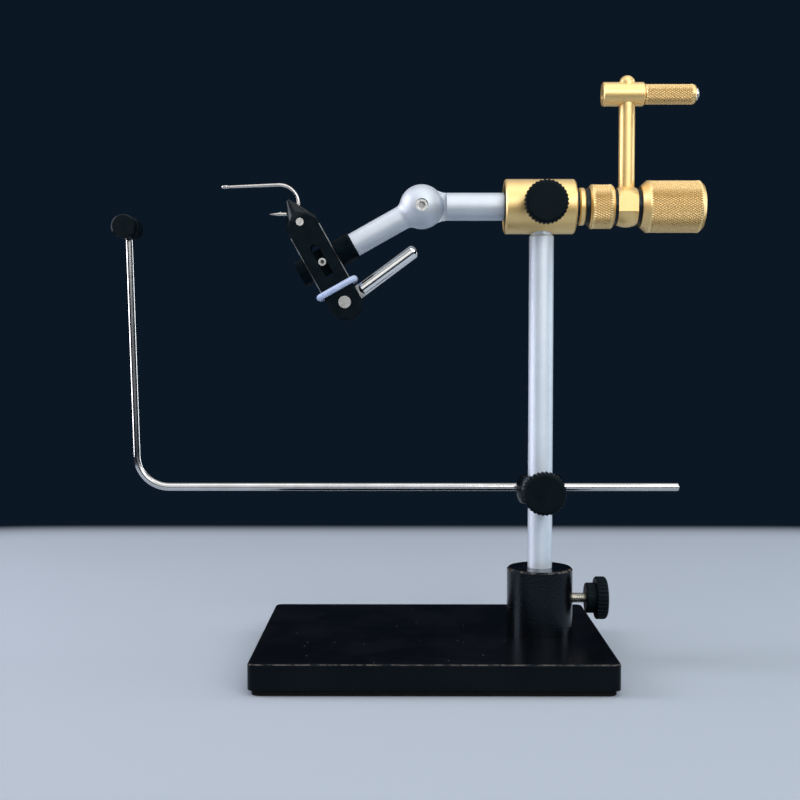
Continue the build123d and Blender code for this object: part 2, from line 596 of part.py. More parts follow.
def fish_hook():
    """Round wire hook in the plane Y = 0, its bend between the jaw noses."""
    tip = (JAW_FRAME * Pos(0, 0, JAW_TIP)).position
    shank_z = tip.Z + HOOK_SHANK_RISE
    bend_x = tip.X + HOOK_BEND_REACH
    bend_start = (bend_x - HOOK_BEND_RADIUS, 0, shank_z)
    bend_z = shank_z - HOOK_BEND_RADIUS
    bend_end = (bend_x, 0, bend_z)
    spear_z = bend_z - HOOK_THROAT_RADIUS
    throat_end = (bend_x - HOOK_THROAT_RADIUS, 0, spear_z)
    bend_half = HOOK_BEND_RADIUS * math.sqrt(0.5)
    throat_half = HOOK_THROAT_RADIUS * math.sqrt(0.5)
    bend_middle = (bend_start[0] + bend_half, 0, bend_z + bend_half)
    throat_middle = (throat_end[0] + throat_half, 0, bend_z - throat_half)
    eye_x = bend_start[0] - HOOK_SHANK_LENGTH
    spear_x = throat_end[0] - HOOK_SPEAR_LENGTH
    shank_start = (eye_x + HOOK_EYE_RADIUS, 0, shank_z)
    path = Line(shank_start, bend_start)
    path += ThreePointArc(bend_start, bend_middle, bend_end)
    path += ThreePointArc(bend_end, throat_middle, throat_end)
    path += Line(throat_end, (spear_x, 0, spear_z))
    section = Plane(origin=shank_start, z_dir=(1, 0, 0)) * Circle(HOOK_WIRE / 2)
    hook = sweep(section, path=path)
    point = Cone(HOOK_WIRE / 2, HOOK_TIP_DIAMETER / 2, HOOK_POINT_LENGTH, align=ON_FLOOR)
    hook += Pos(spear_x, 0, spear_z) * Rot(0, -90, 0) * point
    hook += Pos(eye_x, 0, shank_z) * Torus(HOOK_EYE_RADIUS, HOOK_EYE_WIRE / 2)
    return hook


# Thread cradle
def cradle_collar():
    body = Sphere(COLLAR_DIAMETER / 2) & Box(COLLAR_DIAMETER, COLLAR_DIAMETER, COLLAR_HEIGHT)
    rims = body.edges().sort_by(Axis.Z)
    body = fillet([rims[0], rims[-1]], COLLAR_EDGE)
    body -= drum(POST_DIAMETER + 2 * RUN_GAP, -COLLAR_HEIGHT, COLLAR_HEIGHT)
    hole = CRADLE_ROD_DIAMETER + 2 * RUN_GAP
    body -= Pos(0, CRADLE_ROD_Y, 0) * TO_RIGHT * drum(hole, -COLLAR_DIAMETER, COLLAR_DIAMETER)
    body -= TO_FRONT * stud_hole(COLLAR_DIAMETER)
    return Pos(POST_X, 0, COLLAR_CENTRE) * body


def leg_point(distance):
    """Point on the cradle's leg, measured from the corner of its bend."""
    lean = math.radians(CRADLE_LEAN)
    x = POST_X - CRADLE_ROD_FRONT - distance * math.sin(lean)
    return (x, CRADLE_ROD_Y, COLLAR_CENTRE + distance * math.cos(lean))


def cradle_rod():
    rear = (POST_X + CRADLE_ROD_REAR, CRADLE_ROD_Y, COLLAR_CENTRE)
    path = FilletPolyline(rear, leg_point(0), leg_point(CRADLE_LEG), radius=CRADLE_BEND)
    section = Plane(origin=rear, z_dir=(-1, 0, 0)) * Circle(CRADLE_ROD_DIAMETER / 2)
    rod = sweep(section, path=path)
    return chamfer(rod.edges().filter_by(GeomType.CIRCLE).sort_by(Axis.X)[-1], CRADLE_ROD_EDGE)


def thread_rest_spool():
    body = SPOOL_BODY_LENGTH / 2
    rim = SPOOL_DIAMETER / 2
    neck_end = body + SPOOL_NECK_LENGTH
    end = neck_end + SPOOL_FLANGE_LENGTH
    neck = SPOOL_NECK_DIAMETER / 2
    points = [(-body, 0), (-body, rim - SPOOL_EDGE), (SPOOL_EDGE - body, rim)]
    points += [(body - SPOOL_EDGE, rim), (body, rim - SPOOL_EDGE), (body, neck), (neck_end, neck)]
    points += [(neck_end, rim - SPOOL_EDGE), (neck_end + SPOOL_EDGE, rim)]
    points += [(end - SPOOL_EDGE, rim), (end, rim - SPOOL_EDGE), (end, 0)]
    spool = Rot(0, 0, -90) * turned(points)
    top = Vector(*leg_point(CRADLE_LEG))
    spool -= Rot(0, -CRADLE_LEAN, 0) * drum(CRADLE_ROD_DIAMETER + 2 * SEAT_GAP, -SPOOL_DIAMETER, 0)
    return Pos(*top) * spool


# Places of the thumbscrews, with Z outwards and the knob's hub face at Z = 0
PEDESTAL_REACH = PEDESTAL_DIAMETER / 2 + PEDESTAL_KNOB_GAP
PEDESTAL_SCREW = Pos(POST_X + PEDESTAL_REACH, 0, PEDESTAL_TOP - PEDESTAL_SCREW_DROP) * TO_RIGHT
HEAD_REACH = BARREL_RADIUS + CLOSE_KNOB_GAP
HEAD_SCREW = Pos(POST_X, -HEAD_REACH, HEAD_HEIGHT) * TO_FRONT
COLLAR_REACH = COLLAR_DIAMETER / 2 + CLOSE_KNOB_GAP
COLLAR_SCREW = Pos(POST_X, -COLLAR_REACH, COLLAR_CENTRE) * TO_FRONT

PLATE = jaw_plate()
KNOB = thumb_knob()

PARTS = {
    "base_plate": base_plate(),
    "base_pad": base_pad(),
    "pedestal": pedestal(),
    "pedestal_bolt": pedestal_bolt(),
    "pedestal_clamp_stud": PEDESTAL_SCREW * clamp_stud(PEDESTAL_REACH - POST_RADIUS - TOUCH_GAP),
    "pedestal_clamp_knob": PEDESTAL_SCREW * KNOB,
    "post": post(),
    "head_barrel": head_barrel(),
    "front_bush": bush(RECESS_FLOOR),
    "rear_bush": bush(BARREL_RIGHT - BUSH_LENGTH),
    "front_thrust_washer": washer(THRUST_FACE, RECESS_FLOOR, RECESS_DIAMETER - 2 * SEAT_GAP, SHAFT_RUN),
    "head_lock_stud": HEAD_SCREW * clamp_stud(HEAD_REACH - SHAFT_RADIUS - TOUCH_GAP),
    "head_lock_knob": HEAD_SCREW * KNOB,
    "spindle_arm": spindle_arm(),
    "barrel_washer": washer(STACK[0] + FACE_GAP, STACK[1], BARREL_WASHER_DIAMETER, SHAFT_SEAT),
    "pressure_ring": washer(STACK[1], STACK[2], PRESSURE_RING_DIAMETER, SHAFT_SEAT, PRESSURE_RING_EDGE),
    "ring_washer": washer(STACK[2], STACK[3], RING_WASHER_DIAMETER, SHAFT_SEAT),
    "drag_ring": drag_ring(),
    "hub_washer": washer(STACK[4], STACK[5], HUB_WASHER_DIAMETER, SHAFT_SEAT),
    "crank_hub": crank_hub(),
    "knob_washer": washer(STACK[6], STACK[7], KNOB_WASHER_DIAMETER, SHAFT_SEAT),
    "hand_knob": hand_knob(),
    "crank_rod": crank_rod(),
    "handle_holder": handle_holder(),
    "holder_set_screw": holder_set_screw(),
    "grip_axle": grip_axle(),
    "crank_grip": crank_grip(),
    "forward_arm": forward_arm(),
    "knuckle_screw": knuckle_screw(),
    "jaw_carriage": jaw_carriage(),
    "jaw_guide_stud": jaw_guide_stud(),
    "front_jaw": JAW_FRAME * mirror(PLATE, Plane.XZ),
    "rear_jaw": JAW_FRAME * PLATE,
    "jaw_pin": JAW_FRAME * Pos(0, 0, JAW_PIN_HEIGHT) * headed_pin(
        JAW_PIN_DIAMETER, JAW_PIN_HEAD_DIAMETER, JAW_PIN_HEAD_LENGTH
    ),
    "cam_pin": CAM_FRAME * headed_pin(CAM_PIN_DIAMETER, CAM_PIN_HEAD_DIAMETER, CAM_PIN_HEAD_LENGTH),
    "jaw_o_ring": jaw_o_ring(),
    "cam_lever": cam_lever(),
    "fish_hook": fish_hook(),
    "cradle_collar": cradle_collar(),
    "cradle_clamp_stud": COLLAR_SCREW * clamp_stud(COLLAR_REACH - POST_RADIUS - TOUCH_GAP),
    "cradle_clamp_knob": COLLAR_SCREW * KNOB,
    "cradle_rod": cradle_rod(),
    "thread_rest_spool": thread_rest_spool(),
}

os.makedirs("parts", exist_ok=True)
for node, shape in PARTS.items():
    export_step(shape, f"parts/{node}.step")
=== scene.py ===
import bmesh
import bpy
import math
from mathutils import Matrix, Vector


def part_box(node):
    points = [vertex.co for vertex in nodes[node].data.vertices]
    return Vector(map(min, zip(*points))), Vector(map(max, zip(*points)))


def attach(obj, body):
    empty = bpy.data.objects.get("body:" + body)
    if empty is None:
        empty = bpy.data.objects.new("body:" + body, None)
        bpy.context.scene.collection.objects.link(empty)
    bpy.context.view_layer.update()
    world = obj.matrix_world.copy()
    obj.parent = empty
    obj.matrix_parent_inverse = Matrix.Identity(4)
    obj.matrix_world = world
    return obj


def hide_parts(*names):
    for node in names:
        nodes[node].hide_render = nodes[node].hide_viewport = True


# Looks of a fly tying vise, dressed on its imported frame. Lengths are metres, in the frame's own axes.
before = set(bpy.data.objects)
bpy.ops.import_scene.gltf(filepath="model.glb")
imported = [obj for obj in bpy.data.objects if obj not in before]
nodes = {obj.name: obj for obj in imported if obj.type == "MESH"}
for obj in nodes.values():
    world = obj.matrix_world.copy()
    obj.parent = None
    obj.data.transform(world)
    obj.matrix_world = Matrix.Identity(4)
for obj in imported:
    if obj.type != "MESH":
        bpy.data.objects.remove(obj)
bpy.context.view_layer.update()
MM = 0.001
RIGHT = Vector((1.0, 0.0, 0.0))
BACK = Vector((0.0, 1.0, 0.0))
UP = Vector((0.0, 0.0, 1.0))

# Meshing: distances under which vertices merge, angle under which edges look smooth, roundness of a wire
MERGE = 0.001 * MM
THREAD_MERGE = 0.002 * MM
SMOOTH_ANGLE = math.radians(28)
WIRE_RESOLUTION = 5

# Knurls: crests round the piece, crest spacing along it, depth of the cut and width of a crest's flat
RING_KNURL = {"crests": 55, "pitch": 1.73 * MM, "depth": 0.34 * MM, "flat": 0.16 * MM}
KNOB_KNURL = {"crests": 66, "pitch": 1.6 * MM, "depth": 0.30 * MM, "flat": 0.14 * MM}
GRIP_KNURL = {"crests": 25, "pitch": 1.5 * MM, "depth": 0.26 * MM, "flat": 0.13 * MM}
KNURL_TOLERANCE = 0.01 * MM
RING_CHAMFER = 0.8 * MM
RING_BORE_RADIUS = 4.06 * MM
RING_BORE_EDGE = 0.2 * MM
KNOB_FRONT_CHAMFER = 2.3 * MM
KNOB_FACE_RADIUS = 7.9 * MM
KNOB_PLAIN_BAND = 0.3 * MM
KNOB_REAR_CHAMFER = 1.4 * MM
GRIP_START_CHAMFER = 0.3 * MM
GRIP_END_TRIM = 0.6 * MM
GRIP_END_ROUND = 1.3 * MM
GRIP_END_ANGLES = (0, 30, 60, 90)
GRIP_BORE_RADIUS = 1.56 * MM
GRIP_HEAD_RADIUS = 2.46 * MM
GRIP_HEAD_DEPTH = 1.66 * MM

# Screw threads: the crest's start and end and the next root's start are shares of the pitch
THREAD_PITCH = 0.7 * MM
THREAD_DEPTH = 0.38 * MM
THREAD_STEPS = 28
THREAD_CREST_START = 0.32
THREAD_CREST_END = 0.5
THREAD_ROOT_START = 0.82
THREAD_SPARE_TURNS = 2
THREAD_TRIM = 1.2 * THREAD_PITCH

# Hook: taper, barb lift and barb thickness are shares of the wire's radius, and the tilt is in degrees
HOOK_WIRE = 1.25 * MM
HOOK_TIP_DIAMETER = 0.12 * MM
HOOK_SHANK_TAPER = 0.8
HOOK_SHANK_TILT = 2.3
HOOK_SHANK_TRIM = 1.6 * MM
HOOK_SHANK_POINTS = 10
HOOK_BEND_RADIUS = 7.4 * MM
HOOK_BEND_STEPS = 16
HOOK_THROAT_RADIUS = 3.9 * MM
HOOK_THROAT_STEPS = 12
HOOK_SPEAR_LENGTH = 3.1 * MM
HOOK_POINT_LENGTH = 4.3 * MM
HOOK_POINT_STEPS = 12
HOOK_POINT_CURVE = 1.4
HOOK_EYE_RADIUS = 1.2 * MM
HOOK_EYE_WIRE = 1.0 * MM
HOOK_EYE_STEPS = 28
HOOK_BARB_SETBACK = 1.6 * MM
HOOK_BARB_LENGTH = 1.9 * MM
HOOK_BARB_RISE = 0.55 * MM
HOOK_BARB_LIFT = 0.6
HOOK_BARB_THICKNESS = 0.55

# Ring round the jaws
O_RING_WIRE = 2.0 * MM
O_RING_SWELL = 0.25 * MM
O_RING_CORNER = 1.9 * MM
O_RING_CORNER_STEPS = 8

# Pad under the plate
PAD_CORNER = 3 * MM
PAD_CORNER_STEPS = 6
PAD_RIM = 0.35 * MM
PAD_RIM_STEPS = 2

# Key sockets: half of the width across flats
KNUCKLE_SOCKET = 1.25 * MM
STUD_SOCKET = 0.75 * MM
AXLE_SOCKET = 1.0 * MM
HOLDER_SOCKET = 1.0 * MM

# Jaws: pin to the ground nose's start, length of the nose's fade, and pin back to the end of the bare edges
# that also serve as painted highlights
NOSE_LEAD = 1.2 * MM
NOSE_FADE = 1.5 * MM
BARE_HIGHLIGHT_SETBACK = 4.0 * MM

# Width of the cradle rod's leg and bend, over which its lines run upwards
ROD_LEG_SHARE = 8.0 * MM

# Fine patterns: shares to which places shorten along drawn lines and scratches, and a noise's middle values
DRAWN_OUT = 0.01
SCRATCH_WAY = (0.6, 0.0, 0.8)
SCRATCHED_OUT = 0.08
NOISE_LOW = 0.3
NOISE_HIGH = 0.7


def colour(red, green, blue):
    return (red, green, blue, 1.0)


# Tones of the finishes, in pairs for patches
GOLD_TONES = colour(0.93, 0.645, 0.23), colour(0.96, 0.685, 0.265)
# Painted shade for a knurl's grooves and a painted highlight for its crests
GOLD_GROOVE_SHADE = colour(0.45, 0.26, 0.07)
GOLD_CREST_HIGHLIGHT = colour(0.95, 0.74, 0.38)
POST_TONES = colour(0.745, 0.82, 0.905), colour(0.795, 0.865, 0.94)
ARM_TONES = colour(0.665, 0.72, 0.785), colour(0.71, 0.76, 0.82)
PAINT_TONES = colour(0.0016, 0.0021, 0.0030), colour(0.0028, 0.0034, 0.0045)
PAINT_DUST = colour(0.5, 0.49, 0.47)
PAINT_WORN = colour(0.165, 0.14, 0.118)
RUBBER_TONES = colour(0.003, 0.0034, 0.004), colour(0.008, 0.0085, 0.009)
ZINC_TONES = colour(0.44, 0.43, 0.40), colour(0.60, 0.58, 0.50)
PLASTIC_TONES = colour(0.0014, 0.0034, 0.0046), colour(0.0028, 0.0056, 0.0072)
BRONZE_TONES = colour(0.25, 0.14, 0.06), colour(0.62, 0.40, 0.18)
STEEL_TONES = colour(0.46, 0.46, 0.455), colour(0.80, 0.80, 0.79)
# Painted shade for key sockets
SOCKET_PAINTED_SHADE = colour(0.02, 0.02, 0.02)
JAW_TONES = colour(0.0011, 0.0034, 0.0050), colour(0.0025, 0.0064, 0.0092)
# Bare steel of the jaws' worn edges, also a painted edge highlight
JAW_BARE_HIGHLIGHT = colour(0.60, 0.62, 0.62)
COLLAR_TONES = colour(0.0014, 0.0028, 0.0038), colour(0.0028, 0.0046, 0.0058)
SILICONE_TONES = colour(0.44, 0.55, 0.84), colour(0.54, 0.64, 0.90)
CHROME_TONES = colour(0.80, 0.80, 0.79), colour(0.88, 0.88, 0.87)
HOOK_TONES = colour(0.58, 0.55, 0.52), colour(0.68, 0.655, 0.63)
ROD_TONES = colour(0.58, 0.58, 0.57), colour(0.66, 0.66, 0.655)
COOL_SHEEN = colour(0.58, 0.82, 1.0)

# Studio: the floor fades into the backdrop at the edge of a rounded square
FLOOR = colour(0.42, 0.47, 0.54)
BACKDROP = colour(0.0038, 0.0088, 0.0178)
OVERHEAD = colour(0.58, 0.60, 0.62)
OVERHEAD_START = 0.34
OVERHEAD_END = 0.85
FLOOR_RADIUS = 4.0
FLOOR_SEGMENTS = 96
FADE_START = 0.29
FADE_END = 0.36
FADE_SQUARENESS = 10

# Soft boxes, all aimed at one point: place, width, height, power in watts and tint
AIM = Vector((0.0, 0.0, 0.12))
WARM_WHITE = (1.0, 0.99, 0.97)
SOFT_BOXES = {
    "overhead": ((0.05, -0.25, 0.90), 0.9, 0.7, 2.3, WARM_WHITE),
    "left_side": ((-0.75, 0.0, 0.33), 0.30, 0.8, 4.8, (0.95, 0.92, 1.0)),
    "right_side": ((0.75, 0.08, 0.30), 0.22, 0.8, 2.2, (0.88, 0.95, 1.0)),
    "front_right": ((0.55, -1.00, 0.62), 0.9, 0.45, 6.6, WARM_WHITE),
    "front": ((-0.10, -1.35, 0.62), 1.2, 0.74, 2.8, WARM_WHITE),
    "front_low": ((0.0, -1.40, 0.17), 1.6, 0.4, 0.4, (0.92, 0.96, 1.0)),
}

# Camera, from the photograph's vanishing point
CAMERA_PLACE = Vector((-0.0103, -0.470, 0.1240))
CAMERA_PITCH = math.radians(2.6)
CAMERA_YAW = math.radians(0.24)
CAMERA_LENS_MM = 54.3
CAMERA_SENSOR_MM = 36.0


# Places read from the frame
def centre(node):
    low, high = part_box(node)
    return (low + high) / 2


JAW_AXIS = (centre("jaw_pin") - centre("cam_pin")).normalized()
ARM_AXIS = BACK.cross(JAW_AXIS)
LEVER_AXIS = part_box("cam_lever")[1] - centre("cam_pin")
LEVER_AXIS.y = 0.0
LEVER_AXIS.normalize()
NOSE_START = centre("jaw_pin").dot(JAW_AXIS) + NOSE_LEAD
BARE_HIGHLIGHT_START = centre("jaw_o_ring").dot(JAW_AXIS)
BARE_HIGHLIGHT_END = centre("jaw_pin").dot(JAW_AXIS) - BARE_HIGHLIGHT_SETBACK


# Shader maths
class Channel:
    """One output of a shader node. Maths on it adds Math nodes to the same finish."""

    def __init__(self, finish, socket):
        self.finish = finish
        self.socket = socket

    def math(self, operation, first, second):
        return self.finish.node("Math", {"operation": operation}, {0: first, 1: second})

    def __add__(self, other):
        return self.math("ADD", self, other)

    def __sub__(self, other):
        return self.math("SUBTRACT", self, other)

    def __rsub__(self, other):
        return self.math("SUBTRACT", other, self)

    def __mul__(self, other):
        return self.math("MULTIPLY", self, other)

    def __pow__(self, other):
        return self.math("POWER", self, other)

    def __gt__(self, other):
        return self.math("GREATER_THAN", self, other)

    def __lt__(self, other):
        return self.math("LESS_THAN", self, other)


class Finish:
    """The nodes of a material or a world being made, and the one way to add a node."""

    def __init__(self, owner):
        owner.use_nodes = True
        self.owner = owner
        self.tree = owner.node_tree

    def feed(self, socket, value):
        if isinstance(value, Channel):
            self.tree.links.new(value.socket, socket)
        else:
            socket.default_value = value

    def node(self, kind, settings=None, inputs=None, output=0):
        """Adds a node: its settings first, then the values or channels of its sockets."""
        made = self.tree.nodes.new("ShaderNode" + kind)
        for key, value in (settings or {}).items():
            setattr(made, key, value)
        for key, value in (inputs or {}).items():
            self.feed(made.inputs[key], value)
        return Channel(self, made.outputs[output])

    def vector(self, operation, inputs, output="Vector"):
        return self.node("VectorMath", {"operation": operation}, inputs, output)

    def place(self):
        return self.node("TexCoord", output="Object")

    def along(self, axis, place=None):
        """How far a point lies along an axis."""
        return self.vector("DOT_PRODUCT", {0: place or self.place(), 1: axis}, "Value")

    def aside(self, middle, axis):
        """How far a point lies from the line through middle along an axis."""
        from_middle = self.vector("SUBTRACT", {0: self.place(), 1: middle})
        across = self.vector("CROSS_PRODUCT", {0: from_middle, 1: axis})
        return self.vector("LENGTH", {0: across}, "Value")

    def facing(self, axis):
        """How squarely the surface faces along an axis, towards either of its ends."""
        normal = self.node("TexCoord", output="Normal")
        return self.along(axis, self.vector("ABSOLUTE", {0: normal}))

    def noise(self, size, detail=2.0, rough=0.5, place=None):
        """Cloudy noise whose lumps are about that size."""
        inputs = {"Vector": place or self.place(), "Scale": 1 / size, "Detail": detail, "Roughness": rough}
        return self.node("TexNoise", None, inputs)

    def stretched(self, axis, share):
        """The place with its part along an axis shortened, so that a pattern runs along that axis."""
        place = self.place()
        taken = self.along(axis, place) * (share - 1)
        part = self.vector("SCALE", {0: axis, "Scale": taken})
        return self.vector("ADD", {0: place, 1: part})

    def rings(self, axis, pitch):
        """Uneven lines round an axis, as a lathe tool leaves them."""
        inputs = {"W": self.along(axis) * (1 / pitch), "Scale": 1.0, "Detail": 3.0, "Roughness": 0.7}
        return self.node("TexNoise", {"noise_dimensions": "1D"}, inputs)

    def ease(self, value, low, high, start=0.0, end=1.0):
        """A smooth step from start to end as the value goes from low to high."""
        inputs = {"Value": value, "From Min": low, "From Max": high, "To Min": start, "To Max": end}
        return self.node("MapRange", {"interpolation_type": "SMOOTHSTEP"}, inputs)

    def spread(self, noise, start, end):
        """A value that goes from start to end over a noise's middle values."""
        return self.ease(noise, NOISE_LOW, NOISE_HIGH, start, end)

    def between(self, value, low, full, fall, high):
        """1 where a value lies from full to fall, and smoothly down to 0 at low and high."""
        return self.ease(value, low, full) * self.ease(value, fall, high, 1.0, 0.0)

    def blend(self, share, first, second):
        """A colour between two colours."""
        return self.node("Mix", {"data_type": "RGBA"}, {0: share, 6: first, 7: second}, 2)

    def patches(self, noise, tones, low=NOISE_LOW, high=NOISE_HIGH):
        """Soft patches of two tones."""
        return self.blend(self.ease(noise, low, high), *tones)

    def bump(self, height, distance):
        return self.node("Bump", None, {"Height": height, "Distance": distance, "Strength": 1.0})

    def surface(self, **values):
        """Sets the shader's sockets, named with underscores for spaces, and gives the material."""
        shader = self.tree.nodes["Principled BSDF"]
        for key, value in values.items():
            self.feed(shader.inputs[key.replace("_", " ")], value)
        return self.owner


def finish(name):
    return Finish(bpy.data.materials.new(name))


# Finishes
def gold_anodised(axis, band=None):
    """Satin gold over fine lathe lines. A knurl's band has painted shade in its grooves and a painted
    highlight on its crests.
    """
    f = finish("gold_anodised")
    lines = f.rings(axis, 0.3 * MM)
    cloud = f.noise(5 * MM, detail=3.0)
    grain = f.noise(0.12 * MM, detail=1.0)
    base = f.patches(cloud, GOLD_TONES)
    rough = f.ease(lines, 0.2, 0.8, 0.44, 0.5) + cloud * 0.04
    if band:
        middle, start, end, radius, depth = band
        reach = f.aside(middle, axis)
        along = f.along(axis)
        crest = f.ease(reach, radius - 0.95 * depth, radius - 0.1 * depth)
        on_band = (reach > radius - 1.4 * depth) * (along > start) * (along < end)
        # Painted shade in the knurl's grooves and a painted highlight on its crests
        base = f.blend(on_band * (1 - crest) * 0.45, base, GOLD_GROOVE_SHADE)
        base = f.blend(on_band * crest * 0.3, base, GOLD_CREST_HIGHLIGHT)
    height = lines * 0.3 + grain * 0.7
    return f.surface(
        Base_Color=base,
        Metallic=1.0,
        Roughness=rough,
        Coat_Weight=0.9,
        Coat_IOR=1.8,
        Coat_Roughness=0.36,
        Normal=f.bump(height, 0.003 * MM),
    )


def silver_satin(axis, tones):
    """Pale clear-anodised aluminium, blasted after turning."""
    f = finish("silver_satin")
    lines = f.rings(axis, 0.3 * MM)
    cloud = f.noise(7 * MM, detail=3.0)
    grain = f.noise(0.14 * MM)
    rough = f.ease(grain, 0.25, 0.75, 0.55, 0.63) + cloud * 0.04
    height = lines * 0.15 + grain * 0.85
    return f.surface(
        Base_Color=f.patches(cloud, tones),
        Metallic=1.0,
        Roughness=rough,
        Normal=f.bump(height, 0.006 * MM),
    )


def black_paint(name, peel_depth, rough_low, rough_high, gloss):
    """Semi-gloss black paint with orange peel, a few flecks of dust and thin worn edges."""
    f = finish(name)
    peel = f.noise(0.7 * MM, rough=0.45)
    cloud = f.noise(18 * MM, detail=3.0)
    flecks = f.node("TexVoronoi", {"voronoi_dimensions": "2D"}, {"Vector": f.place(), "Scale": 1 / (8 * MM)})
    fleck_place = Channel(f, flecks.socket.node.outputs["Position"])
    fleck_kind = f.node("TexWhiteNoise", None, {"Vector": fleck_place})
    fleck = (flecks < 0.026) * (fleck_kind > 0.9)
    base = f.patches(cloud, PAINT_TONES, 0.35, 0.7)
    base = f.blend(fleck * 0.4, base, PAINT_DUST)
    edge = f.between(f.facing(UP), 0.35, 0.6, 0.8, 0.94)
    worn = edge * f.ease(f.noise(2.5 * MM, detail=4.0, rough=0.65), 0.43, 0.6)
    base = f.blend(worn * 0.6, base, PAINT_WORN)
    rough = f.spread(cloud, rough_low, rough_high) + fleck * 0.4 + worn * 0.1
    return f.surface(
        Base_Color=base,
        Roughness=rough,
        Specular_IOR_Level=gloss,
        Specular_Tint=COOL_SHEEN,
        Normal=f.bump(peel, peel_depth),
    )


def pad_rubber():
    """Matt black rubber with a fine skin."""
    f = finish("pad_rubber")
    skin = f.noise(0.5 * MM, detail=3.0)
    return f.surface(
        Base_Color=f.blend(skin, *RUBBER_TONES),
        Roughness=f.spread(skin, 0.72, 0.9),
        Specular_IOR_Level=0.12,
        Normal=f.bump(skin, 0.05 * MM),
    )


def zinc_plate():
    """Bright zinc on the clamp studs and the bolt."""
    f = finish("zinc_plate")
    cloud = f.noise(0.9 * MM, detail=3.0)
    base = f.patches(cloud, ZINC_TONES, 0.35, 0.65)
    return f.surface(Base_Color=base, Metallic=1.0, Roughness=f.ease(cloud, 0.2, 0.8, 0.2, 0.36))


def moulded_black(name, grain_size, grain_depth, rough_low, rough_high, gloss):
    """Moulded black plastic with the grain of its mould."""
    f = finish(name)
    grain = f.noise(grain_size, rough=0.6)
    cloud = f.noise(5 * MM)
    return f.surface(
        Base_Color=f.patches(cloud, PLASTIC_TONES),
        Roughness=f.spread(grain, rough_low, rough_high) + cloud * 0.05,
        Specular_IOR_Level=gloss,
        Specular_Tint=COOL_SHEEN,
        Normal=f.bump(grain, grain_depth),
    )


def bush_bronze():
    """Oiled bronze with open pores."""
    f = finish("bush_bronze")
    pores = f.noise(0.2 * MM)
    base = f.patches(pores, BRONZE_TONES, 0.35, 0.6)
    return f.surface(Base_Color=base, Metallic=1.0, Roughness=f.spread(pores, 0.55, 0.35))


def bright_steel(axis, node=None, socket=0.0, shade=0.93):
    """Turned steel of pins and screws, with handling scratches and painted shade in a key socket at a node's
    middle.
    """
    f = finish("bright_steel")
    scratch = f.noise(0.25 * MM, detail=3.0, rough=0.7, place=f.stretched(SCRATCH_WAY, SCRATCHED_OUT))
    lines = f.rings(axis, 0.12 * MM)
    base = f.patches(scratch, STEEL_TONES, 0.4, 0.62)
    if socket:
        # Painted shade across the key socket's width, in place of the shade in the recess
        painted_socket_shade = f.ease(f.aside(centre(node), axis), 0.85 * socket, 1.05 * socket, shade, 0.0)
        base = f.blend(painted_socket_shade, base, SOCKET_PAINTED_SHADE)
    return f.surface(
        Base_Color=base,
        Metallic=1.0,
        Roughness=f.spread(scratch, 0.34, 0.2) + lines * 0.06,
        Normal=f.bump(scratch + lines * 0.5, 0.008 * MM),
    )


def jaw_steel(gloss, bare_highlight):
    """Oxide-blackened tool steel of the jaws, with a ground nose and thin bare edges behind the pin, worn
    and also painted bright as edge highlights.
    """
    f = finish("jaw_steel")
    cloud = f.noise(3.2 * MM, detail=4.0, rough=0.6)
    grain = f.noise(0.1 * MM, detail=1.0)
    ground = f.rings(JAW_AXIS, 0.1 * MM)
    reach = f.along(JAW_AXIS)
    nose = f.ease(reach, NOSE_START, NOSE_START + NOSE_FADE)
    # Bare steel on the chamfers behind the pin: wear, and a painted highlight along the edges
    edge = f.between(f.facing(BACK), 0.35, 0.6, 0.82, 0.95)
    edge = edge * (reach > BARE_HIGHLIGHT_START) * (reach < BARE_HIGHLIGHT_END)
    worn = edge * f.ease(cloud, 0.3, 0.6, 0.35 * bare_highlight, bare_highlight)
    base = f.blend(worn, f.patches(cloud, JAW_TONES), JAW_BARE_HIGHLIGHT)
    return f.surface(
        Base_Color=base,
        Metallic=worn,
        Roughness=f.spread(cloud, 0.36, 0.46) - nose * 0.12 - worn * 0.1,
        Specular_IOR_Level=gloss,
        Specular_Tint=COOL_SHEEN,
        Coat_Weight=nose * 0.22,
        Coat_Roughness=0.11,
        Normal=f.bump(grain + ground * nose, 0.005 * MM),
    )


def collar_black():
    """Black gloss finish of the cradle's collar."""
    f = finish("collar_black")
    peel = f.noise(0.8 * MM)
    return f.surface(
        Base_Color=f.blend(peel, *COLLAR_TONES),
        Roughness=f.spread(peel, 0.2, 0.3),
        Specular_IOR_Level=0.22,
        Specular_Tint=COOL_SHEEN,
        Normal=f.bump(peel, 0.02 * MM),
    )


def ring_silicone():
    """Milky blue silicone that lets some light in."""
    f = finish("ring_silicone")
    cloud = f.noise(3.5 * MM, detail=1.0)
    return f.surface(
        Base_Color=f.patches(cloud, SILICONE_TONES),
        Roughness=f.spread(cloud, 0.3, 0.38),
        Subsurface_Weight=0.15,
        Subsurface_Radius=(0.5, 0.7, 1.0),
        Subsurface_Scale=0.5 * MM,
        Coat_Weight=0.4,
        Coat_Roughness=0.22,
    )


def lever_chrome():
    """Bright chrome plate with faint polishing lines."""
    f = finish("lever_chrome")
    lines = f.rings(LEVER_AXIS, 0.25 * MM)
    haze = f.noise(2.5 * MM, detail=3.0)
    return f.surface(
        Base_Color=f.patches(haze, CHROME_TONES),
        Metallic=1.0,
        Roughness=f.spread(haze, 0.07, 0.13) + lines * 0.04,
        Normal=f.bump(lines, 0.002 * MM),
    )


def hook_wire():
    """Bronzed hook wire."""
    f = finish("hook_wire")
    tone = f.noise(3.5 * MM)
    base = f.patches(tone, HOOK_TONES)
    return f.surface(Base_Color=base, Metallic=1.0, Roughness=f.spread(tone, 0.26, 0.34))


